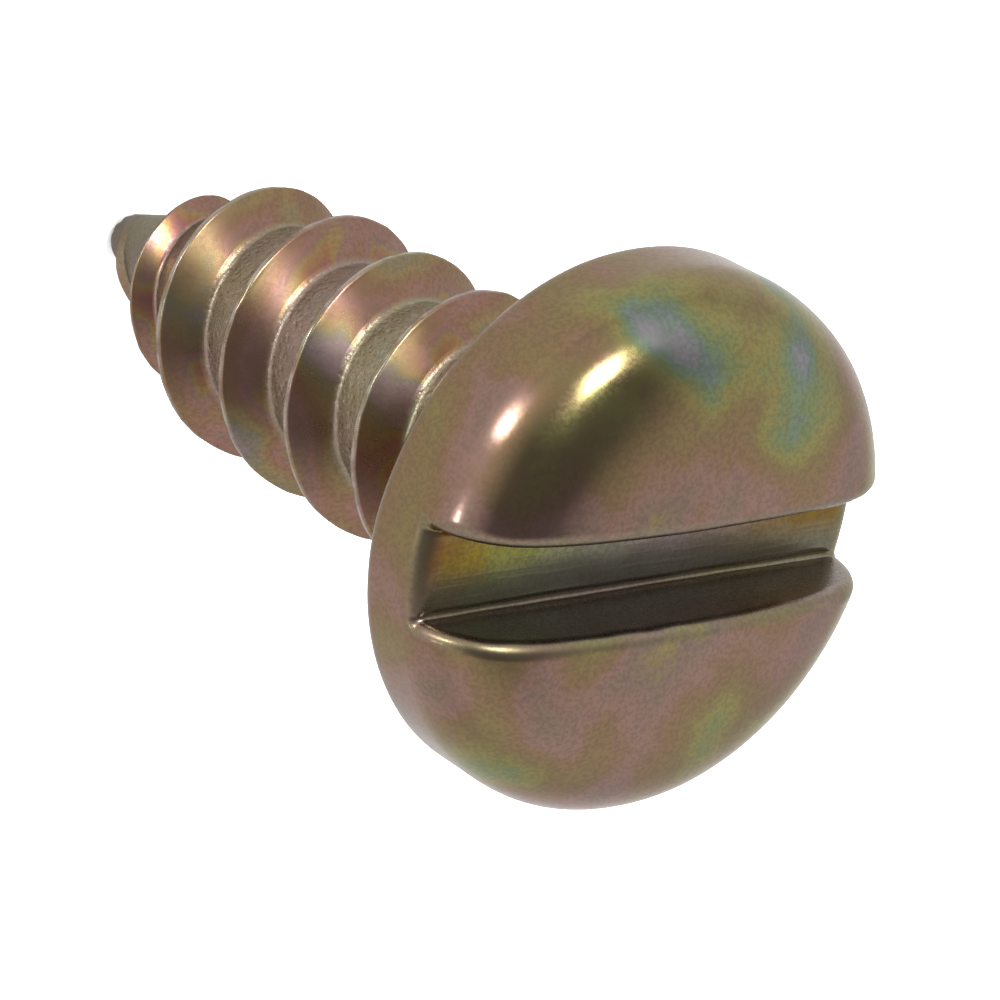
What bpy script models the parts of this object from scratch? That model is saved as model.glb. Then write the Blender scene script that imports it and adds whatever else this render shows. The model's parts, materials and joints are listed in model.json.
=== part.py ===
"""Slotted pan-head tapping screw, No. 8-15 x 1/2 in: one cold-headed, thread-rolled piece of plated steel.

Frame: metres, +Z along the screw's axis and out of the head, +X along the driver slot, and the origin at the
centre of the head's bearing face, the flat underside. The shank and its point hang below the origin.
"""

from math import atan2, cos, floor, hypot, pi, radians, sin, sqrt, tan

import bmesh
import bpy
from mathutils import Matrix, Vector

MM = 0.001

# Head
HEAD_DIAMETER = 8.1 * MM
HEAD_HEIGHT = 2.55 * MM
CROWN_RADIUS = 32.0 * MM
SHOULDER_RADIUS = 1.4 * MM
RIM_RADIUS = 0.28 * MM

# Driver slot
SLOT_WIDTH = 1.36 * MM
SLOT_DEPTH = 1.37 * MM
SLOT_EDGE_BREAK = 0.07 * MM

# Shank below the bearing face
LENGTH = 12.1 * MM
CORE_DIAMETER = 3.06 * MM
NECK_FILLET = 0.68 * MM
POINT_ANGLE = radians(35)
TIP_DIAMETER = 0.7 * MM
TIP_ROUNDING = 0.2 * MM

# Right-hand spaced thread, 15 turns to the inch
THREAD_DIAMETER = 4.28 * MM
PITCH = 25.4 / 15 * MM
THREAD_ANGLE = radians(60)
CREST_LAND = 0.08 * MM
ROOT_FILLET = 0.25 * MM
CREST_POINT_ANGLE = radians(45)
CREST_DIAMETER_AT_TIP = 1.0 * MM
THREAD_START_DEPTH = 0.75 * MM
THREAD_START_ANGLE = radians(-95)
START_TURNS = 0.5
END_TURNS = 0.4

# Facets
SIDES = 60
STEPS_PER_TURN = 36
BURIED = 0.22 * MM
SUNK = 0.03 * MM
CLEAR = 1.0 * MM

HEAD_RADIUS = HEAD_DIAMETER / 2
CORE_RADIUS = CORE_DIAMETER / 2
THREAD_RADIUS = THREAD_DIAMETER / 2
SLOT_FLOOR_Z = HEAD_HEIGHT - SLOT_DEPTH


def arc(centre, radius, start, end, steps):
    """Points (r, z) along an arc from the angle start to the angle end, both included."""
    angles = [start + (end - start) * i / steps for i in range(steps + 1)]
    return [(centre[0] + radius * cos(a), centre[1] + radius * sin(a)) for a in angles]


def core_radius(z):
    """Radius of the core at the height z: a cylinder that narrows to the blunt tip."""
    from_tip = (z + LENGTH) * tan(POINT_ANGLE / 2)
    return min(CORE_RADIUS, TIP_DIAMETER / 2 + max(from_tip, 0))


def crest_radius(z):
    """Radius of the thread's crest at the height z: full on the shank, narrowing along the point."""
    from_tip = (z + LENGTH) * tan(CREST_POINT_ANGLE / 2)
    return min(THREAD_RADIUS, CREST_DIAMETER_AT_TIP / 2 + max(from_tip, 0))


def head_outline():
    """Crown, shoulder, side and rim as tangent arcs, from the top of the head down to the bearing face."""
    shoulder_r = HEAD_RADIUS - SHOULDER_RADIUS
    reach = CROWN_RADIUS - SHOULDER_RADIUS
    crown_z = HEAD_HEIGHT - CROWN_RADIUS
    shoulder_z = crown_z + sqrt(reach**2 - shoulder_r**2)
    tangent = atan2(shoulder_z - crown_z, shoulder_r)
    crown = arc((0, crown_z), CROWN_RADIUS, pi / 2, tangent, 3)
    crown[0] = (0, HEAD_HEIGHT)
    shoulder = arc((shoulder_r, shoulder_z), SHOULDER_RADIUS, tangent, 0, 7)
    rim = arc((HEAD_RADIUS - RIM_RADIUS, RIM_RADIUS), RIM_RADIUS, 0, -pi / 2, 3)
    return crown[:-1] + shoulder + rim


def shank_outline():
    """Neck fillet, core, point and blunt tip, from the inner edge of the bearing face down to the axis."""
    neck = arc((CORE_RADIUS + NECK_FILLET, -NECK_FILLET), NECK_FILLET, pi / 2, pi, 4)
    cone_z = (CORE_RADIUS - TIP_DIAMETER / 2) / tan(POINT_ANGLE / 2) - LENGTH
    tip_r = TIP_DIAMETER / 2 - TIP_ROUNDING
    tip = arc((tip_r, TIP_ROUNDING - LENGTH), TIP_ROUNDING, 0, -pi / 2, 2)
    return neck + [(CORE_RADIUS, cone_z)] + tip + [(0, -LENGTH)]


def link(name, mesh):
    made = bpy.data.objects.new(name, mesh)
    bpy.context.collection.objects.link(made)
    return made


def helper(made):
    """Marks an object as a tool for a Boolean: not rendered, and drawn as a wire."""
    made.hide_render = True
    made.display_type = "WIRE"
    return made


def headed_blank():
    """The turned shape of the whole screw without its slot and thread."""
    outline = head_outline() + shank_outline()
    mesh = bpy.data.meshes.new("screw")
    points = [(r, 0, z) for r, z in outline]
    mesh.from_pydata(points, [(i, i + 1) for i in range(len(points) - 1)], [])
    blank = link("screw", mesh)
    turn = blank.modifiers.new("turned", "SCREW")
    turn.steps = SIDES
    turn.render_steps = SIDES
    turn.use_merge_vertices = True
    turn.merge_threshold = 1e-7
    return blank


def slot_cutter():
    """A bar as wide as the slot, whose underside is the slot's floor."""
    bpy.ops.mesh.primitive_cube_add(size=1)
    cutter = bpy.context.object
    cutter.name = "slot_cutter"
    height = SLOT_DEPTH + CLEAR
    cutter.scale = (HEAD_DIAMETER + 2 * CLEAR, SLOT_WIDTH, height)
    cutter.location.z = SLOT_FLOOR_Z + height / 2
    return helper(cutter)


def thread_section():
    """Closed section of the ridge as (height over the core, distance up the axis from the crest's middle).

    Each flank leans by half the thread's angle and runs into the core by a fillet, which goes a little below
    the core's surface before the section turns down to its buried base.
    """
    lean = THREAD_ANGLE / 2
    sweep = pi / 2 - lean
    depth = THREAD_RADIUS - CORE_RADIUS
    corner = CREST_LAND / 2 + depth * tan(lean)
    tangent = min(ROOT_FILLET * tan(sweep / 2), 0.6 * depth / cos(lean))
    fillet = tangent / tan(sweep / 2)
    foot = corner + tangent
    start = (tangent * cos(lean), corner - tangent * sin(lean))
    bend = (fillet - fillet * cos(sweep / 2), foot - fillet * sin(sweep / 2))
    upper = [(-BURIED, foot), (-SUNK, foot), bend, start, (depth, CREST_LAND / 2)]
    return upper + [(h, -up) for h, up in reversed(upper)]


def ridge_share(turns, last_turn):
    """How much of its full height the ridge has: it grows from nothing at its start and fades at its end."""
    grown = min(turns / START_TURNS, (last_turn - turns) / END_TURNS, 1)
    return max(grown, 0)


def thread_ridge():
    """The thread as a helical ridge that is sunk into the core, and that follows the point to its tip."""
    end_z = CREST_DIAMETER_AT_TIP / 2 - LENGTH
    last_turn = (-THREAD_START_DEPTH - end_z) / PITCH
    steps = round(last_turn * STEPS_PER_TURN)
    shape = bmesh.new()
    ring = [shape.verts.new((CORE_RADIUS + h, 0, up)) for h, up in thread_section()]
    shape.faces.new(ring)
    place = Matrix.Translation((0, 0, -THREAD_START_DEPTH)) @ Matrix.Rotation(THREAD_START_ANGLE, 4, "Z")
    shape.transform(place)
    bmesh.ops.spin(
        shape,
        geom=shape.verts[:] + shape.edges[:] + shape.faces[:],
        cent=(0, 0, 0),
        axis=(0, 0, -1),
        dvec=(0, 0, -PITCH * last_turn / steps),
        angle=2 * pi * last_turn,
        steps=steps,
    )
    for vert in shape.verts:
        fit_to_core(vert, last_turn)
    bmesh.ops.recalc_face_normals(shape, faces=shape.faces[:])
    mesh = bpy.data.meshes.new("thread_ridge")
    shape.to_mesh(mesh)
    shape.free()
    return helper(link("thread_ridge", mesh))


def fit_to_core(vert, last_turn):
    """Moves a point of the plain helix onto the tapering core, with the height that the ridge has there."""
    x, y, z = vert.co
    angle = atan2(y, x)
    part_turn = (THREAD_START_ANGLE - angle) / (2 * pi)
    part_turn -= floor(part_turn)
    turns = part_turn + round((-THREAD_START_DEPTH - z) / PITCH - part_turn)
    crest_z = -THREAD_START_DEPTH - PITCH * turns
    full = (crest_radius(crest_z) - core_radius(crest_z)) / (THREAD_RADIUS - CORE_RADIUS)
    over_core = hypot(x, y) - CORE_RADIUS
    if over_core > -SUNK:
        over_core = -SUNK + (over_core + SUNK) * full * ridge_share(turns, last_turn)
    height = crest_z + (z - crest_z) * full
    radius = core_radius(height) + over_core
    vert.co = Vector((radius * cos(angle), radius * sin(angle), height))


def combine(target, tool, operation):
    change = target.modifiers.new(tool.name, "BOOLEAN")
    change.operation = operation
    change.solver = "EXACT"
    change.object = tool


def break_edges(target):
    """Breaks the slot's edges by a small round."""
    rounded = target.modifiers.new("slot_edges", "BEVEL")
    rounded.width = SLOT_EDGE_BREAK
    rounded.segments = 2
    rounded.limit_method = "ANGLE"
    rounded.angle_limit = radians(50)


def yellow_passivated_zinc():
    material = bpy.data.materials.new("yellow_passivated_zinc")
    material.use_nodes = True
    shader = material.node_tree.nodes["Principled BSDF"]
    shader.inputs["Base Color"].default_value = (0.42, 0.34, 0.22, 1)
    shader.inputs["Metallic"].default_value = 1.0
    shader.inputs["Roughness"].default_value = 0.32
    return material


def shade(target):
    target.data.shade_smooth()
    target.data.set_sharp_from_angle(angle=radians(35))


def clear_scene():
    for old in list(bpy.data.objects):
        bpy.data.objects.remove(old, do_unlink=True)


def main():
    clear_scene()
    screw = headed_blank()
    combine(screw, slot_cutter(), "DIFFERENCE")
    break_edges(screw)
    combine(screw, thread_ridge(), "UNION")
    screw.data.materials.append(yellow_passivated_zinc())
    shade(screw)


main()
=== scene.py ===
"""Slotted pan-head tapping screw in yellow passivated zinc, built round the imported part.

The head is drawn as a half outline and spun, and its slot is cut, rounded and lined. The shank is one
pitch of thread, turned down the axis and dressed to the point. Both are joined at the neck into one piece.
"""

import json
from math import acos, ceil, cos, hypot, pi, radians, sin, tan

import bmesh
import bpy
import numpy as np
from mathutils import Matrix, Vector
from mathutils.kdtree import KDTree


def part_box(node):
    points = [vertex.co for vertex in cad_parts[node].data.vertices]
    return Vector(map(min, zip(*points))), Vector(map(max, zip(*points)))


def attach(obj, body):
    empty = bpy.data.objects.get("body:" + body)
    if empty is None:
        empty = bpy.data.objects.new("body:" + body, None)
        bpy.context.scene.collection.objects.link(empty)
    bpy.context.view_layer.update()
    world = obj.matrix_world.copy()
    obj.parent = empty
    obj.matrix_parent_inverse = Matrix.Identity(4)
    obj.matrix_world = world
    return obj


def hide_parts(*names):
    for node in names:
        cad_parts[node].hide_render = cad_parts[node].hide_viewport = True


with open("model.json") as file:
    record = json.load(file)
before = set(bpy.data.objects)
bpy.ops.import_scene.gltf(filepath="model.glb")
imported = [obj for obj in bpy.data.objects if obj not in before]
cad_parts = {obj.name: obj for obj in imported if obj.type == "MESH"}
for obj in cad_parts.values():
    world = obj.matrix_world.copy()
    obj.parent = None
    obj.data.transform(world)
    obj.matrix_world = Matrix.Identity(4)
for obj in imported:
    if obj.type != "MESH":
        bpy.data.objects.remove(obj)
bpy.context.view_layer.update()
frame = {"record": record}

MM = 0.001

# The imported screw: its box gives the head's radius and the tip, and a mount gives the floor of the slot
box_low, box_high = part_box("screw")
driver_slot = next(mount for mount in frame["record"]["mounts"] if mount["name"] == "driver_slot")
HEAD_RADIUS = box_high.x
TIP_Z = box_low.z
SLOT_FLOOR = driver_slot["pos_m"][2]

# The crown's middle is higher than the box, because the slot takes it away
CROWN_OVER_BOX = 0.011 * MM
CROWN_TOP = box_high.z + CROWN_OVER_BOX

# Head
CROWN_BEND = 1 / (24 * MM)
CROWN_END = 2.0 * MM
SHOULDER_START = 3.8 * MM
LONGEST_RUN = 9 * MM
RIM_RADIUS = 0.28 * MM
WIDEST_STEP = 0.16 * MM
MOST_TURN = radians(4)
SIDES = 180

# Slot
SLOT_HALF = 0.68 * MM
MOUTH_ROUND = 0.22 * MM
END_STRETCH = 0.7
CORNER_ROUND = 0.045 * MM
CORNER_TURNS = (18, 36, 54, 72)
MOUTH_STEPS = 6
INTO_SLOT = 0.04 * MM
WALL_GRID_ALONG = 0.24 * MM
WALL_GRID_UP = 0.17 * MM

# Shank
CORE = 1.53 * MM
NECK_FILLET = 0.68 * MM
NECK_JOIN = -0.3 * MM
POINT_SLOPE = tan(radians(17.5))
TIP_RADIUS = 0.35 * MM
TIP_ROUND = 0.2 * MM

# Thread
THREAD = 2.14 * MM
PITCH = 25.4 / 15 * MM
FLANK_SLOPE = tan(radians(33))
CREST_LAND = 0.08 * MM
CREST_SLOPE = tan(radians(22.5))
CREST_AT_TIP = 0.5 * MM
THREAD_START = -0.75 * MM
THREAD_START_ANGLE = radians(-95)
START_TURNS = 0.5
END_TURNS = 0.4
DEPTH = THREAD - CORE
FOOT = 0.52 * MM
ROOT_TAIL = 0.035 * MM
LEAST_SHARE = 0.2

# View of the screw: direction in degrees round and above it, turn of the picture, and what the lens looks at
VIEW_AZIMUTH = 150.3
VIEW_ELEVATION = 44.37
VIEW_ROLL = 121.3
VIEW_DISTANCE = 56.8 * MM
VIEW_AIM = Vector((-0.12, -0.55, -1.82)) * MM


# --- Small tools ---------------------------------------------------------------------------------------


def nothing_selected():
    if bpy.context.mode != "OBJECT":
        bpy.ops.object.mode_set(mode="OBJECT")
    bpy.ops.object.select_all(action="DESELECT")


def edit(piece):
    nothing_selected()
    piece.select_set(True)
    bpy.context.view_layer.objects.active = piece
    bpy.ops.object.mode_set(mode="EDIT")
    bpy.ops.mesh.select_mode(type="VERT")
    bpy.ops.mesh.select_all(action="DESELECT")


def done():
    bpy.ops.object.mode_set(mode="OBJECT")


def middle(part):
    if isinstance(part, bmesh.types.BMVert):
        return part.co
    return sum((v.co for v in part.verts), Vector()) / len(part.verts)


def pick(piece, kind, test):
    """Selects the points, edges or faces of the piece in edit mode whose middle passes the test."""
    bpy.ops.mesh.select_all(action="DESELECT")
    bpy.ops.mesh.select_mode(type={"verts": "VERT", "edges": "EDGE", "faces": "FACE"}[kind])
    shape = bmesh.from_edit_mesh(piece.data)
    for part in getattr(shape, kind):
        part.select_set(test(part, middle(part)))
    shape.select_flush_mode()
    bmesh.update_edit_mesh(piece.data)


def cut(piece, test, point, normal):
    """Bisects the faces that pass the test by a plane, and keeps both sides."""
    pick(piece, "faces", test)
    bpy.ops.mesh.bisect(plane_co=point, plane_no=normal, threshold=1e-8)


def drawn_line(name, points):
    """A chain of edges drawn from point to point in the plane of X and Z."""
    bpy.ops.mesh.primitive_plane_add(size=MM)
    line = bpy.context.object
    line.name = name
    edit(line)
    bpy.ops.mesh.select_all(action="SELECT")
    bpy.ops.mesh.merge(type="CENTER")
    steps = [Vector((r, 0, z)) for r, z in points]
    bpy.ops.transform.translate(value=steps[0])
    for here, there in zip(steps, steps[1:]):
        bpy.ops.mesh.extrude_region_move(TRANSFORM_OT_translate={"value": there - here})
    done()
    return line


def apply_modifier(piece, modifier):
    bpy.context.view_layer.objects.active = piece
    bpy.ops.object.modifier_apply(modifier=modifier.name)


def smooth(t):
    """Rises from 0 to 1 with level ends."""
    t = min(max(t, 0), 1)
    return t * t * (3 - 2 * t)


# --- Head ----------------------------------------------------------------------------------------------


def bent_outline(shoulder_bend, step=0.004 * MM):
    """Points (r, z, slope) from the middle of the crown out to where the side stands upright.

    The crown is nearly flat, and its bend grows smoothly into that of the shoulder.
    """
    r, z, slope, run = 0, CROWN_TOP, 0, 0
    points = [(r, z, slope)]
    while slope < pi / 2 and run < LONGEST_RUN:
        share = smooth((run - CROWN_END) / (SHOULDER_START - CROWN_END))
        slope += (CROWN_BEND + (shoulder_bend - CROWN_BEND) * share) * step
        r += cos(slope) * step
        z -= sin(slope) * step
        run += step
        points.append((r, z, slope))
    return points


def head_outline():
    """The head's outline, with the shoulder's bend that brings its side to the head's radius."""
    low, high = 0.2 / MM, 3 / MM
    for _ in range(40):
        bend = (low + high) / 2
        if bent_outline(bend)[-1][0] > HEAD_RADIUS:
            low = bend
        else:
            high = bend
    return bent_outline(bend)


def spaced(points, widest, most_turn):
    """Thins a fine outline so that a step is at most that wide and turns at most that much."""
    kept = [points[0]]
    for here, after in zip(points[1:], points[2:]):
        last = kept[-1]
        far = hypot(after[0] - last[0], after[1] - last[1]) > widest
        if far or after[2] - last[2] > most_turn:
            kept.append(here)
    return kept + [points[-1]]


fine_outline = head_outline()
side_top = fine_outline[-1][1]


def head_normal(point):
    """Direction out of the head's crown, shoulder or side at a point on it."""
    r = hypot(point.x, point.y)
    slope = pi / 2
    if point.z > side_top:
        slope = min(fine_outline, key=lambda p: hypot(p[0] - r, p[1] - point.z))[2]
    return Vector((sin(slope) * point.x / r, sin(slope) * point.y / r, cos(slope)))


def spun_head():
    crown = [(r, z) for r, z, _ in spaced(fine_outline, WIDEST_STEP, MOST_TURN)]
    crown[-1] = (HEAD_RADIUS, side_top)
    upright = [(HEAD_RADIUS, side_top + (RIM_RADIUS - side_top) * i / 5) for i in range(1, 6)]
    rim = [
        (HEAD_RADIUS - RIM_RADIUS * (1 - cos(a)), RIM_RADIUS * (1 - sin(a)))
        for a in (radians(15 * i) for i in range(1, 7))
    ]
    neck_r = CORE + NECK_FILLET
    bearing = [(rim[-1][0] + (neck_r - rim[-1][0]) * i / 9, 0) for i in range(1, 10)]
    neck_end = 0.93 * NECK_JOIN
    low_turn = acos(1 + neck_end / NECK_FILLET)
    neck = [
        (neck_r - NECK_FILLET * sin(low_turn * i / 5), -NECK_FILLET * (1 - cos(low_turn * i / 5)))
        for i in range(1, 6)
    ]
    head = drawn_line("plated_screw", crown + upright + rim + bearing + neck)
    edit(head)
    bpy.ops.mesh.select_all(action="SELECT")
    bpy.ops.mesh.spin(steps=SIDES, angle=2 * pi, center=(0, 0, 0), axis=(0, 0, 1))
    bpy.ops.mesh.select_all(action="SELECT")
    bpy.ops.mesh.remove_doubles(threshold=1e-7)
    bpy.ops.mesh.normals_make_consistent(inside=False)
    done()
    return head


def slot_side(point):
    """Direction into the slot from a point on its wide outline, and how far off the slot's own face is."""
    corner_y = SLOT_HALF - CORNER_ROUND
    corner_z = SLOT_FLOOR + CORNER_ROUND
    if point.z >= corner_z - 1e-8:
        return Vector((0, -1 if point.y > 0 else 1, 0)), MOUTH_ROUND
    if abs(point.y) <= corner_y + 1e-8:
        return Vector((0, 0, 1)), MOUTH_ROUND
    to_corner = Vector((0, (corner_y if point.y > 0 else -corner_y) - point.y, corner_z - point.z))
    return to_corner.normalized(), to_corner.length - CORNER_ROUND


def rounded_mouth(point):
    """Places from a point on the head's surface round the slot's edge and a little way into the slot."""
    out = head_normal(point)
    inward, reach = slot_side(point)
    start = (inward - inward.dot(out) * out).normalized()
    end = -(out - out.dot(inward) * inward).normalized()
    turn = start.angle(end)
    steps = []
    for i in range(MOUTH_STEPS):
        part = (i + 0.5) / MOUTH_STEPS
        steps.append((start * sin((1 - part) * turn) + end * sin(part * turn)) / sin(turn))
    scale = reach / sum(step.dot(inward) for step in steps)
    places = []
    here = point.copy()
    for step in steps:
        here = here + step * scale + end * step.dot(end) * scale * END_STRETCH * inward.z
        places.append(here)
    places.append(here + end * INTO_SLOT)
    return places


def corner_directions():
    """Directions in which the arc at a lower corner of the slot is cut, from its floor up to its wall."""
    return [Vector((0, sin(radians(turn)), -cos(radians(turn)))) for turn in CORNER_TURNS]


def open_slot(head):
    """Cuts away the head's skin along the slot's outline, which is wider by the rounding of its mouth."""
    half = SLOT_HALF + MOUTH_ROUND
    base = SLOT_FLOOR - MOUTH_ROUND
    guard = 0.03 * MM
    corner = Vector((0, SLOT_HALF - CORNER_ROUND, SLOT_FLOOR + CORNER_ROUND))
    radius = CORNER_ROUND + MOUTH_ROUND

    def near_walls(face, place):
        return place.z > base - 0.2 * MM and abs(place.y) < 1.3 * MM

    def near_floor(face, place):
        return abs(place.y) < half and abs(place.z - SLOT_FLOOR) < 0.5 * MM

    edit(head)
    for side in (-1, 1):
        for y in (half, half + guard):
            cut(head, near_walls, (0, side * y, 0), (0, 1, 0))
    for z in (base, base - guard, corner.z, corner.z + 0.07 * MM):
        cut(head, near_floor, (0, 0, z), (0, 0, 1))
    for side in (-1, 1):
        cut(head, near_floor, (0, side * corner.y, 0), (0, 1, 0))
        for direction in corner_directions():
            on_arc = corner + direction * radius
            cut(
                head,
                lambda f, m: corner.y < side * m.y < half and base < m.z < corner.z,
                (0, side * on_arc.y, on_arc.z),
                (0, side * direction.y, direction.z),
            )

    def in_slot(face, place):
        if abs(place.y) > half or place.z < base:
            return False
        past = Vector((0, abs(place.y) - corner.y, place.z - corner.z))
        if past.y < 0 or past.z > 0:
            return True
        return all(past.dot(direction) < radius for direction in corner_directions())

    pick(head, "faces", in_slot)
    bpy.ops.mesh.delete(type="FACE")
    bpy.ops.mesh.select_all(action="SELECT")
    bpy.ops.mesh.remove_doubles(threshold=1e-7)
    done()


def mouth_edge(part, place):
    return part.is_boundary and place.z > 0.5 * MM


def round_mouth(head):
    """Rolls the skin round the slot's edge in small extrusions, each moved to its place."""
    edit(head)
    pick(head, "edges", mouth_edge)
    shape = bmesh.from_edit_mesh(head.data)
    starts = [v.co.copy() for v in shape.verts if v.select]
    paths = [rounded_mouth(start) for start in starts]
    places = starts
    for ring in range(MOUTH_STEPS + 1):
        finder = KDTree(len(places))
        for i, place in enumerate(places):
            finder.insert(place, i)
        finder.balance()
        bpy.ops.mesh.extrude_region_move()
        shape = bmesh.from_edit_mesh(head.data)
        for v in shape.verts:
            if v.select:
                _, i, _ = finder.find(v.co)
                v.co = paths[i][ring]
        bmesh.update_edit_mesh(head.data)
        places = [path[ring] for path in paths]
    done()


def line_slot(head):
    """Bridges the slot's floor from end to end, then fills its two walls and cuts them into a grid."""
    top = SLOT_FLOOR + CORNER_ROUND + 0.075 * MM
    edit(head)
    pick(head, "edges", lambda e, m: e.is_boundary and 0.5 * MM < m.z and max(v.co.z for v in e.verts) < top)
    bpy.ops.mesh.bridge_edge_loops(number_cuts=31, interpolation="LINEAR")
    pick(head, "edges", mouth_edge)
    bpy.ops.mesh.fill_holes(sides=0)

    def on_wall(face, place):
        upright = abs(face.normal.y) > 0.99 and place.z > top - 0.02 * MM
        return upright and abs(abs(place.y) - SLOT_HALF) < 0.002 * MM

    for i in range(-15, 16):
        cut(head, on_wall, (WALL_GRID_ALONG * i, 0, 0), (1, 0, 0))
    for i in range(1, 8):
        cut(head, on_wall, (0, 0, top + WALL_GRID_UP * i), (0, 0, 1))
    bpy.ops.mesh.select_all(action="SELECT")
    bpy.ops.mesh.normals_make_consistent(inside=False)
    done()


# --- Shank ---------------------------------------------------------------------------------------------


def straight_core(z):
    return np.minimum(CORE, TIP_RADIUS + np.maximum(z - TIP_Z, 0) * POINT_SLOPE)


def core_radius(z):
    """Radius of the core with the neck's fillet at its top and the rounded blunt point at its end."""
    up = np.clip(z + NECK_FILLET, 0, NECK_FILLET)
    with_neck = straight_core(z) + NECK_FILLET - np.sqrt(NECK_FILLET**2 - up**2)
    down = np.clip(TIP_Z + TIP_ROUND - z, 0, TIP_ROUND)
    return with_neck - TIP_ROUND + np.sqrt(TIP_ROUND**2 - down**2)


def straight_crest(z):
    return np.minimum(THREAD, CREST_AT_TIP + np.maximum(z - TIP_Z, 0) * CREST_SLOPE)


LAST_TURN = (THREAD_START - (TIP_Z + CREST_AT_TIP)) / PITCH


def thread_place(angle, z):
    """Turns from the thread's start of the nearest crest, and the distance up the axis from that crest."""
    part = np.mod((THREAD_START_ANGLE - angle) / (2 * pi), 1)
    turns = part + np.round((THREAD_START - z) / PITCH - part)
    return turns, z - (THREAD_START - PITCH * turns)


def crest_height(turns):
    """Shares of the ridge's full height: the one it has on the point, and the one near its two ends."""
    crest_z = THREAD_START - PITCH * turns
    full = (straight_crest(crest_z) - straight_core(crest_z)) / DEPTH
    grown = np.minimum(turns / START_TURNS, (LAST_TURN - turns) / END_TURNS)
    return full, np.clip(grown, 0, 1)


def ridge(up):
    """Height of the ridge over the core at a distance from its crest, with filleted roots."""
    away = np.abs(up)
    flank = DEPTH - np.maximum(away - CREST_LAND / 2, 0) / FLANK_SLOPE
    tail = ROOT_TAIL * np.exp(np.minimum(flank / ROOT_TAIL - 1, 0))
    flank = np.where(flank > ROOT_TAIL, flank, tail)
    fade = np.clip((FOOT + 0.02 * MM - away) / (0.08 * MM), 0, 1)
    return np.minimum(flank * fade, DEPTH)


def thread_steps():
    """Distances from the crest at which one pitch is drawn, close together over crest and root."""
    land = CREST_LAND / 2
    near = [0, land * 0.55, land, land * 1.5, land * 2.2, land * 3.2]
    flank = [0.18, 0.24, 0.3, 0.34, 0.37, 0.395, 0.415, 0.435, 0.46, 0.49, 0.53]
    root = [0.6, 0.68, 0.76]
    up = near + [d * MM for d in flank + root]
    return [-d for d in reversed(up[1:])] + up


def turned_thread():
    """One pitch of the thread's steps, turned down the axis from below the tip up past the neck."""
    steps = [-PITCH / 2] + thread_steps() + [PITCH / 2]
    turns_below = ceil((THREAD_START - TIP_Z) / PITCH) + 1
    crest_z = THREAD_START - PITCH * (THREAD_START_ANGLE / (2 * pi) + turns_below)
    shank = drawn_line("shank", [(CORE, crest_z + d) for d in steps])
    turn = shank.modifiers.new("turned", "SCREW")
    turn.steps = turn.render_steps = SIDES
    turn.screw_offset = PITCH
    turn.iterations = ceil((NECK_JOIN - crest_z) / PITCH + 1)
    turn.use_merge_vertices = True
    turn.merge_threshold = 1e-7
    nothing_selected()
    shank.select_set(True)
    apply_modifier(shank, turn)
    edit(shank)
    bpy.ops.mesh.select_all(action="SELECT")
    bpy.ops.mesh.remove_doubles(threshold=1e-7)
    done()
    return shank


def coordinates(piece):
    co = np.empty(len(piece.data.vertices) * 3)
    piece.data.vertices.foreach_get("co", co)
    return co.reshape(-1, 3)


def place_points(piece, co):
    piece.data.vertices.foreach_set("co", co.reshape(-1))
    piece.data.update()


def dress_thread(shank):
    """Raises the thread from the turned core, and narrows both along the point."""
    co = coordinates(shank)
    angle = np.arctan2(co[:, 1], co[:, 0])
    turns, up = thread_place(angle, co[:, 2])
    full, grown = crest_height(turns)
    share = np.maximum(full, LEAST_SHARE)
    foot = FOOT * share
    past_foot = foot + (np.abs(up) - FOOT) * (PITCH / 2 - foot) / (PITCH / 2 - FOOT)
    squeezed = np.where(np.abs(up) < FOOT, up * share, np.sign(up) * past_foot)
    z = co[:, 2] - up + squeezed
    radius = core_radius(z) + ridge(up) * full * grown
    place_points(shank, np.stack([radius * np.cos(angle), radius * np.sin(angle), z], axis=1))


def trim_shank(shank):
    """Cuts the shank off under the neck and at the blunt tip, and closes the tip."""
    end = TIP_Z + 0.035 * MM
    edit(shank)
    bpy.ops.mesh.select_all(action="SELECT")
    bpy.ops.mesh.bisect(plane_co=(0, 0, NECK_JOIN), plane_no=(0, 0, 1), clear_outer=True, threshold=1e-8)
    bpy.ops.mesh.select_all(action="SELECT")
    bpy.ops.mesh.bisect(plane_co=(0, 0, end), plane_no=(0, 0, 1), clear_inner=True, threshold=1e-8)
    pick(shank, "edges", lambda e, m: e.is_boundary and m.z < end + 1e-7)
    for size, drop in ((0.85, 0.6), (0.75, 0.3), (0.6, 0.1), (0.45, 0.0)):
        bpy.ops.mesh.extrude_region_move(TRANSFORM_OT_translate={"value": (0, 0, (TIP_Z - end) * drop)})
        bpy.ops.transform.resize(value=(size, size, 1), center_override=(0, 0, 0))
    bpy.ops.mesh.merge(type="CENTER")
    bpy.ops.mesh.select_all(action="SELECT")
    bpy.ops.mesh.remove_doubles(threshold=1e-7)
    bpy.ops.mesh.normals_make_consistent(inside=False)
    done()


def join_at_neck(head, shank):
    nothing_selected()
    head.select_set(True)
    shank.select_set(True)
    bpy.context.view_layer.objects.active = head
    bpy.ops.object.join()
    edit(head)
    pick(head, "edges", lambda e, m: e.is_boundary)
    bpy.ops.mesh.bridge_edge_loops()
    bpy.ops.mesh.select_all(action="SELECT")
    bpy.ops.mesh.remove_doubles(threshold=1e-7)
    bpy.ops.mesh.normals_make_consistent(inside=False)
    done()
    return head


head = spun_head()
open_slot(head)
round_mouth(head)
line_slot(head)
shank = turned_thread()
dress_thread(shank)
trim_shank(shank)
screw = join_at_neck(head, shank)
bpy.ops.object.shade_smooth()


# --- Surface: where the masks go, and slight unevenness ------------------------------------------------


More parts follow.
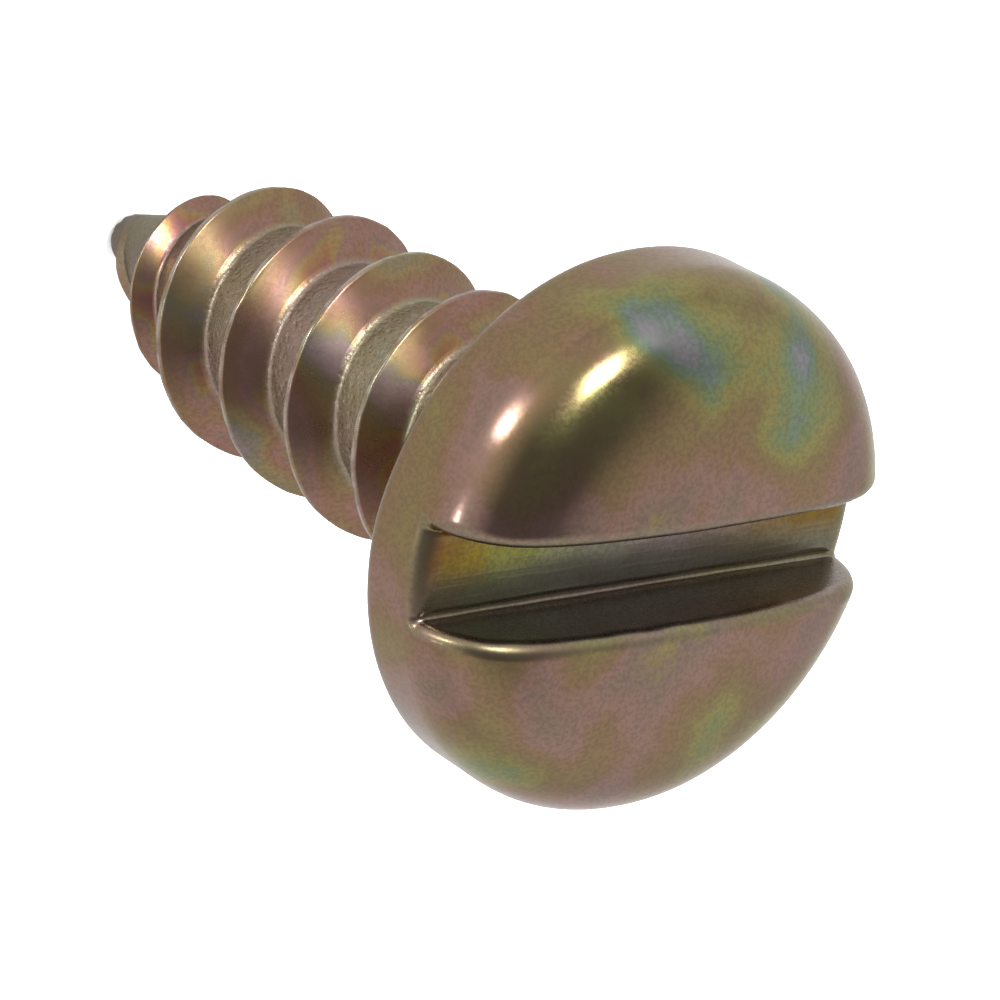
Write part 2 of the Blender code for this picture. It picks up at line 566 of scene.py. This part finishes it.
def add_mask(piece, name, values):
    mask = piece.data.attributes.new(name, "FLOAT", "POINT")
    mask.data.foreach_set("value", np.clip(values, 0, 1).astype(np.float32))
    group = piece.vertex_groups.new(name=name)
    for i in np.nonzero(values > 0.01)[0]:
        group.add([int(i)], float(min(values[i], 1)), "REPLACE")


def mark_surfaces(piece):
    """Masks for the thread's crest, flanks and roots, and for the slot and its mouth."""
    co = coordinates(piece)
    x, y, z = co[:, 0], co[:, 1], co[:, 2]
    on_shank = z < NECK_JOIN + 0.02 * MM
    turns, up = thread_place(np.arctan2(y, x), z)
    full, grown = crest_height(turns)
    away = np.abs(up) / np.maximum(full, LEAST_SHARE)
    crest = np.clip(1.1 - away / (0.05 * MM), 0, 1) * grown
    root = np.clip((away - 0.38 * MM) / (0.05 * MM), 0, 1)
    root = np.maximum(root, 1 - grown)
    add_mask(piece, "crest", np.where(on_shank, crest, 0))
    add_mask(piece, "root", np.where(on_shank, root, 0))
    add_mask(piece, "flank", np.where(on_shank, (1 - root) * (1 - crest), 0))
    past_slot = np.maximum(np.abs(y) - SLOT_HALF, SLOT_FLOOR - z)
    in_head = z > 0.5 * MM
    add_mask(piece, "slot", np.where(in_head, np.clip(1 - past_slot / (0.05 * MM), 0, 1), 0))
    lip = 1.5 - np.abs(past_slot - MOUTH_ROUND / 2) / (MOUTH_ROUND / 3)
    add_mask(piece, "mouth", np.where(in_head, lip, 0))


def uneven(piece, name, size, height, group=""):
    """Pushes the surface in and out by a soft noise, by at most half the height."""
    noise = bpy.data.textures.new(name, "CLOUDS")
    noise.noise_scale = size
    noise.noise_depth = 1
    push = piece.modifiers.new(name, "DISPLACE")
    push.texture = noise
    push.texture_coords = "LOCAL"
    push.strength = height
    push.mid_level = 0.5
    push.vertex_group = group
    apply_modifier(piece, push)


mark_surfaces(screw)
uneven(screw, "cold_heading", 1.9 * MM, 0.035 * MM)
uneven(screw, "rolling_marks", 0.25 * MM, 0.018 * MM, "root")
uneven(screw, "crest_nicks", 0.35 * MM, 0.045 * MM, "crest")
uneven(screw, "slot_marks", 0.5 * MM, 0.02 * MM, "slot")


# --- Materials -----------------------------------------------------------------------------------------


def feed(tree, socket, value):
    """Gives an input its value, or joins it to the socket that feeds it."""
    if isinstance(value, bpy.types.NodeSocket):
        tree.links.new(value, socket)
    else:
        socket.default_value = value


def put(tree, kind, sets=None, **inputs):
    """Adds a node, sets its own settings, and feeds its inputs. i0, i1 and so on are inputs by number."""
    made = tree.nodes.new("ShaderNode" + kind)
    for name, value in (sets or {}).items():
        setattr(made, name, value)
    for name, value in inputs.items():
        by_number = name[0] == "i" and name[1:].isdigit()
        feed(tree, made.inputs[int(name[1:]) if by_number else name], value)
    return made


def calc(tree, operation, a, b=0.0, c=0.0):
    return put(tree, "Math", {"operation": operation}, i0=a, i1=b, i2=c).outputs[0]


def blend(tree, share, a, b):
    """Mixes two colours by a share. The second may be a plain colour."""
    over = b if isinstance(b, bpy.types.NodeSocket) else (*b, 1)
    return put(tree, "Mix", {"data_type": "RGBA"}, i0=share, i6=a, i7=over).outputs[2]


def between(tree, value, low, high, to_low=0.0, to_high=1.0):
    """Maps a value from one span to another, smoothly and without going past its ends."""
    sets = {"interpolation_type": "SMOOTHSTEP"}
    made = put(tree, "MapRange", sets, i0=value, i1=low, i2=high, i3=to_low, i4=to_high)
    return made.outputs[0]


def noise(tree, where, size, detail=2.0, roughness=0.5):
    """Soft noise from 0 to 1, whose patches are about that wide, in metres."""
    made = put(tree, "TexNoise", Vector=where, Scale=1 / size, Detail=detail, Roughness=roughness)
    return made.outputs["Fac"]


def ramp(tree, value, stops):
    made = put(tree, "ValToRGB", Fac=value)
    places = made.color_ramp.elements
    places[0].position, places[0].color = stops[0][0], (*stops[0][1], 1)
    places[1].position, places[1].color = stops[-1][0], (*stops[-1][1], 1)
    for position, colour in stops[1:-1]:
        places.new(position).color = (*colour, 1)
    return made.outputs["Color"]


def new_group(name, takes, gives):
    """A shader node group with its ends: returns the tree, its inputs by name, and the output node."""
    tree = bpy.data.node_groups.new(name, "ShaderNodeTree")
    for label, kind, value in takes:
        socket = tree.interface.new_socket(label, in_out="INPUT", socket_type=kind)
        if value is not None:
            socket.default_value = value
    for label, kind in gives:
        tree.interface.new_socket(label, in_out="OUTPUT", socket_type=kind)
    start = tree.nodes.new("NodeGroupInput")
    end = tree.nodes.new("NodeGroupOutput")
    return tree, start.outputs, end


def group(tree, kind, **inputs):
    """Places a node group and feeds its inputs."""
    made = tree.nodes.new("ShaderNodeGroup")
    made.node_tree = kind
    for name, value in inputs.items():
        feed(tree, made.inputs[name], value)
    return made


# Colours of the film, from its thin end to its thick end
MAGENTA = (0.27, 0.115, 0.115)
ORANGE = (0.33, 0.175, 0.065)
YELLOW_OLIVE = (0.31, 0.25, 0.08)
GREY_MAUVE = (0.24, 0.17, 0.13)
MAUVE = (0.29, 0.175, 0.14)
ORANGE_BROWN = (0.25, 0.16, 0.09)
OLIVE_BROWN = (0.24, 0.178, 0.083)
OLIVE = (0.27, 0.235, 0.088)
GREEN = (0.20, 0.235, 0.11)
TEAL = (0.18, 0.23, 0.185)
BLUE_GREY = (0.25, 0.24, 0.25)
FILM_STOPS = (
    (0.0, MAGENTA),
    (0.1, ORANGE),
    (0.2, YELLOW_OLIVE),
    (0.33, GREY_MAUVE),
    (0.43, MAUVE),
    (0.53, ORANGE_BROWN),
    (0.65, OLIVE_BROWN),
    (0.76, OLIVE),
    (0.86, GREEN),
    (0.94, TEAL),
    (1.0, BLUE_GREY),
)

# Colours in the slot, along its floor from -X to +X, then a painted shade on the floor in its corner, and its
# wall
SLOT_STOPS = (
    (0.05, (0.22, 0.10, 0.03)),
    (0.14, (0.27, 0.19, 0.028)),
    (0.25, (0.24, 0.25, 0.07)),
    (0.4, (0.26, 0.25, 0.17)),
    (0.6, (0.27, 0.21, 0.20)),
    (0.76, (0.24, 0.17, 0.11)),
    (0.88, (0.22, 0.125, 0.015)),
)
# Painted shade: a dark colour laid over the slot's floor towards its corner with the -Y wall
SLOT_CORNER_SHADE = (0.15, 0.165, 0.135)
SLOT_WALL = (0.30, 0.25, 0.225)

# Colours of worn, rolled and dirty metal
FLANK_BROWN = (0.33, 0.16, 0.115)
MOUTH_OLIVE = (0.24, 0.235, 0.15)
SPECK = (0.08, 0.07, 0.06)
ROOT_PALE = (0.38, 0.325, 0.275)
LIGHT_FLECK = (0.55, 0.5, 0.42)
DARK_FLECK = (0.1, 0.085, 0.07)
SAW_MARK = (0.4, 0.36, 0.3)
CREST_METAL = (0.5, 0.45, 0.41)


def passivation_film():
    """The colours of the thin film, which change with its thickness: soft patches with finer ones inside."""
    takes = (
        ("Vector", "NodeSocketVector", None),
        ("Patches", "NodeSocketFloat", 500.0),
        ("Thickness", "NodeSocketFloat", 0.5),
        ("Swing", "NodeSocketFloat", 1.0),
    )
    tree, given, end = new_group("passivation film", takes, (("Colour", "NodeSocketColor"),))
    wide = put(tree, "TexNoise", Vector=given["Vector"], Scale=given["Patches"], Detail=1.0, Distortion=0.2)
    finer = calc(tree, "MULTIPLY", given["Patches"], 4.3)
    small = put(tree, "TexNoise", Vector=given["Vector"], Scale=finer, Detail=3.0, Roughness=0.6)
    from_wide = calc(tree, "SUBTRACT", wide.outputs["Fac"], 0.5)
    from_small = calc(tree, "SUBTRACT", small.outputs["Fac"], 0.5)
    both = calc(tree, "MULTIPLY_ADD", from_small, 0.22, from_wide)
    film = calc(tree, "MULTIPLY_ADD", both, given["Swing"], given["Thickness"])
    tree.links.new(ramp(tree, film, FILM_STOPS), end.inputs["Colour"])
    return tree


def plated_grain():
    """Fine grain of the plating: a height for bumps, and dark specks."""
    takes = (("Vector", "NodeSocketVector", None), ("Grain", "NodeSocketFloat", 16000.0))
    gives = (("Height", "NodeSocketFloat"), ("Specks", "NodeSocketFloat"))
    tree, given, end = new_group("plated grain", takes, gives)
    fine = put(tree, "TexNoise", Vector=given["Vector"], Scale=given["Grain"], Detail=3.0, Roughness=0.6)
    tree.links.new(fine.outputs["Fac"], end.inputs["Height"])
    tree.links.new(between(tree, fine.outputs["Fac"], 0.42, 0.6), end.inputs["Specks"])
    return tree


def head_thickness(tree, apart):
    """The head's film is thicker towards the slot's +X end and over the shoulder on the +Y side."""
    along = calc(tree, "MULTIPLY_ADD", apart["X"], 0.12 / HEAD_RADIUS, 0.57)
    over_shoulder = between(tree, apart["Y"], 0.3 * HEAD_RADIUS, 0.9 * HEAD_RADIUS, 0.0, 0.13)
    return calc(tree, "ADD", along, over_shoulder)


def slot_colours(tree, where, apart):
    """Film in the slot: orange at its -X end, olive, grey and mauve along the floor, a painted shade
    darkening the floor towards its corner with the -Y wall, and a plain wall.
    """
    waves = calc(tree, "MULTIPLY_ADD", noise(tree, where, 0.5 * MM, 3.0), 0.22, -0.11)
    along = calc(tree, "MULTIPLY_ADD", apart["X"], 1 / (2 * HEAD_RADIUS), 0.5)
    down = between(tree, apart["Y"], 0.6 * SLOT_HALF, -SLOT_HALF, 0.0, 0.1)
    shift = calc(tree, "ADD", calc(tree, "ADD", along, waves), down)
    on_wall = between(tree, apart["Y"], -SLOT_HALF + 0.04 * MM, -SLOT_HALF - 0.01 * MM)
    # Painted shade: the floor darkens towards its corner with the -Y wall
    painted_corner_shade = calc(tree, "MULTIPLY", between(tree, apart["Y"], 0.25 * SLOT_HALF, -0.65 * SLOT_HALF), 0.75)
    floor_colour = blend(tree, painted_corner_shade, ramp(tree, shift, SLOT_STOPS), SLOT_CORNER_SHADE)
    return blend(tree, on_wall, floor_colour, SLOT_WALL)


def shank_film(tree, film, where, apart):
    """Film on the thread's flanks, in bands whose thickness changes from the crest down to the root."""
    squares = [calc(tree, "POWER", apart[axis], 2) for axis in "XY"]
    from_axis = calc(tree, "SQRT", calc(tree, "ADD", *squares))
    down_flank = between(tree, from_axis, THREAD - 0.1 * MM, CORE + 0.06 * MM)
    bands = between(tree, noise(tree, where, 1.3 * MM, 1.0), 0.4, 0.62, -0.5, 0.2)
    thickness = calc(tree, "MULTIPLY_ADD", down_flank, bands, 0.62)
    made = group(tree, film, Vector=where, Patches=520.0, Thickness=thickness, Swing=1.8)
    return blend(tree, 0.4, made.outputs["Colour"], FLANK_BROWN)


def pale_roots(tree, colour, flecks):
    """The rolled roots: paler, with light and dark flecks."""
    pale = blend(tree, 0.55, colour, ROOT_PALE)
    pale = blend(tree, between(tree, flecks, 0.58, 0.72, 0.0, 0.7), pale, LIGHT_FLECK)
    return blend(tree, between(tree, flecks, 0.42, 0.3, 0.0, 0.8), pale, DARK_FLECK)


def yellow_zinc():
    material = bpy.data.materials.new("yellow passivated zinc")
    material.use_nodes = True
    tree = material.node_tree
    shader = tree.nodes["Principled BSDF"]
    where = put(tree, "TexCoord").outputs["Object"]
    apart = put(tree, "SeparateXYZ", i0=where).outputs

    def mask(name):
        return put(tree, "Attribute", {"attribute_name": name}).outputs["Fac"]

    crest, root, flank, slot, mouth = (mask(name) for name in ("crest", "root", "flank", "slot", "mouth"))
    film = passivation_film()
    thickness = head_thickness(tree, apart)
    head_film = group(tree, film, Vector=where, Patches=520.0, Thickness=thickness, Swing=1.3)
    colour = blend(tree, flank, head_film.outputs["Colour"], shank_film(tree, film, where, apart))
    colour = blend(tree, slot, colour, slot_colours(tree, where, apart))
    colour = blend(tree, calc(tree, "MULTIPLY", mouth, 0.4), colour, MOUTH_OLIVE)

    grain = group(tree, plated_grain(), Vector=where, Grain=15000.0)
    specks = grain.outputs["Specks"]
    colour = blend(tree, calc(tree, "MULTIPLY", specks, 0.23), colour, SPECK)
    flecks = noise(tree, where, 0.075 * MM, 3.0, 0.75)
    colour = blend(tree, calc(tree, "MULTIPLY", root, 0.85), colour, pale_roots(tree, colour, flecks))
    streaks = put(tree, "Mapping", {"vector_type": "POINT"}, Vector=where, Scale=(0.06, 1, 1)).outputs[0]
    scored = calc(tree, "MULTIPLY", between(tree, noise(tree, streaks, 0.09 * MM, 3.0), 0.5, 0.72), slot)
    colour = blend(tree, calc(tree, "MULTIPLY", scored, 0.12), colour, SAW_MARK)
    broken = between(tree, noise(tree, where, 0.35 * MM, 3.0), 0.38, 0.62, 0.2, 0.85)
    colour = blend(tree, calc(tree, "MULTIPLY", crest, broken), colour, CREST_METAL)
    tree.links.new(colour, shader.inputs["Base Color"])

    shader.inputs["Metallic"].default_value = 1.0
    rough = between(tree, noise(tree, where, 0.7 * MM, 2.0), 0.3, 0.7, 0.155, 0.205)
    for where_rougher, more in ((root, 0.17), (slot, 0.09), (flank, 0.11), (mouth, 0.12), (specks, 0.05)):
        rough = calc(tree, "MULTIPLY_ADD", where_rougher, more, rough)
    tree.links.new(rough, shader.inputs["Roughness"])

    round_cells = {"feature": "SMOOTH_F1"}
    pits = put(tree, "TexVoronoi", round_cells, Vector=where, Scale=1 / (0.11 * MM), Smoothness=0.3)
    pit_depth = between(tree, pits.outputs["Distance"], 0.1, 0.5, 0.0, 0.5)
    height = calc(tree, "MULTIPLY", calc(tree, "MULTIPLY_ADD", flecks, 1.3, pit_depth), root)
    height = calc(tree, "MULTIPLY_ADD", grain.outputs["Height"], 0.05, height)
    height = calc(tree, "MULTIPLY_ADD", scored, 0.1, height)
    bump = put(tree, "Bump", Strength=0.6, Distance=0.014 * MM, Height=height)
    tree.links.new(bump.outputs["Normal"], shader.inputs["Normal"])
    return material


screw.data.materials.clear()
screw.data.materials.append(yellow_zinc())

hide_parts("screw")
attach(screw, "root")


# --- Floor, light and camera ---------------------------------------------------------------------------


def pale_floor():
    """Looks white from the camera, and is a mid grey in the light that it throws back on the screw."""
    bpy.ops.mesh.primitive_plane_add(size=1.2, location=(0, 0, TIP_Z))
    floor_piece = bpy.context.object
    floor_piece.name = "floor"
    paper = bpy.data.materials.new("white paper")
    paper.use_nodes = True
    nodes, links = paper.node_tree.nodes, paper.node_tree.links
    sheet = nodes["Principled BSDF"]
    sheet.inputs["Roughness"].default_value = 0.9
    sheet.inputs["Specular IOR Level"].default_value = 0.1
    path = nodes.new("ShaderNodeLightPath")
    mix = nodes.new("ShaderNodeMix")
    mix.data_type = "RGBA"
    mix.inputs["A"].default_value = (0.30, 0.295, 0.29, 1)
    mix.inputs["B"].default_value = (0.9, 0.9, 0.9, 1)
    links.new(path.outputs["Is Camera Ray"], mix.inputs["Factor"])
    links.new(mix.outputs["Result"], sheet.inputs["Base Color"])
    floor_piece.data.materials.append(paper)


def towards(azimuth, elevation):
    a, e = radians(azimuth), radians(elevation)
    return Vector((cos(a) * cos(e), sin(a) * cos(e), sin(e)))


def soft_box(name, azimuth, elevation, wide, tall, brightness, distance=0.15):
    """A small lit panel that faces the screw. Its direction and its width and height there are in degrees."""
    lamp = bpy.data.lights.new(name, "AREA")
    lamp.shape = "RECTANGLE"
    lamp.size = 2 * distance * tan(radians(wide / 2))
    lamp.size_y = 2 * distance * tan(radians(tall / 2))
    lamp.energy = brightness * pi * lamp.size * lamp.size_y
    made = bpy.data.objects.new(name, lamp)
    bpy.context.scene.collection.objects.link(made)
    made.location = towards(azimuth, elevation) * distance
    made.rotation_euler = towards(azimuth, elevation).to_track_quat("Z", "Y").to_euler()


def daylight():
    """Soft room light: pale all round, and dim overhead."""
    world = bpy.data.worlds.new("room")
    bpy.context.scene.world = world
    world.use_nodes = True
    tree = world.node_tree
    where = put(tree, "TexCoord").outputs["Generated"]
    overhead = towards(150, 74)
    facing = put(tree, "VectorMath", {"operation": "DOT_PRODUCT"}, i0=where, i1=overhead).outputs["Value"]
    behind, bright = (0.82, 0.82, 0.84), (1.02, 1.02, 1.04)
    pale, dim = (0.88, 0.87, 0.86), (0.22, 0.225, 0.26)
    stops = ((0.0, behind), (0.35, bright), (0.58, pale), (0.84, dim), (1.0, dim))
    shades = ramp(tree, facing, stops)
    tree.links.new(shades, tree.nodes["Background"].inputs["Color"])
    tree.nodes["Background"].inputs["Strength"].default_value = 1.0


def floor_light():
    """Lights the floor to white from straight above. The screw doesn't mirror it."""
    lamp = bpy.data.lights.new("floor_light", "SUN")
    lamp.energy = 7
    lamp.angle = radians(90)
    made = bpy.data.objects.new("floor_light", lamp)
    bpy.context.scene.collection.objects.link(made)
    made.visible_glossy = False


def camera():
    """A long lens in front of the head that looks at the screw, with the head at the lower right."""
    lens = bpy.data.cameras.new("camera")
    lens.sensor_width = 36
    lens.lens = 141
    lens.clip_start = 0.001
    lens.clip_end = 10
    made = bpy.data.objects.new("camera", lens)
    bpy.context.scene.collection.objects.link(made)
    out = towards(VIEW_AZIMUTH, VIEW_ELEVATION)
    turn = out.to_track_quat("Z", "Y").to_matrix().to_4x4() @ Matrix.Rotation(radians(VIEW_ROLL), 4, "Z")
    made.matrix_world = Matrix.Translation(VIEW_AIM + out * VIEW_DISTANCE) @ turn
    bpy.context.scene.camera = made


pale_floor()
daylight()
floor_light()
soft_box("window", 98, 40.5, 13, 15, 27)
soft_box("lamp", 140, 2, 10, 15, 18)
soft_box("small lamp", 175, 4, 4, 4, 25)
camera()
bpy.context.scene.view_settings.view_transform = "Standard"
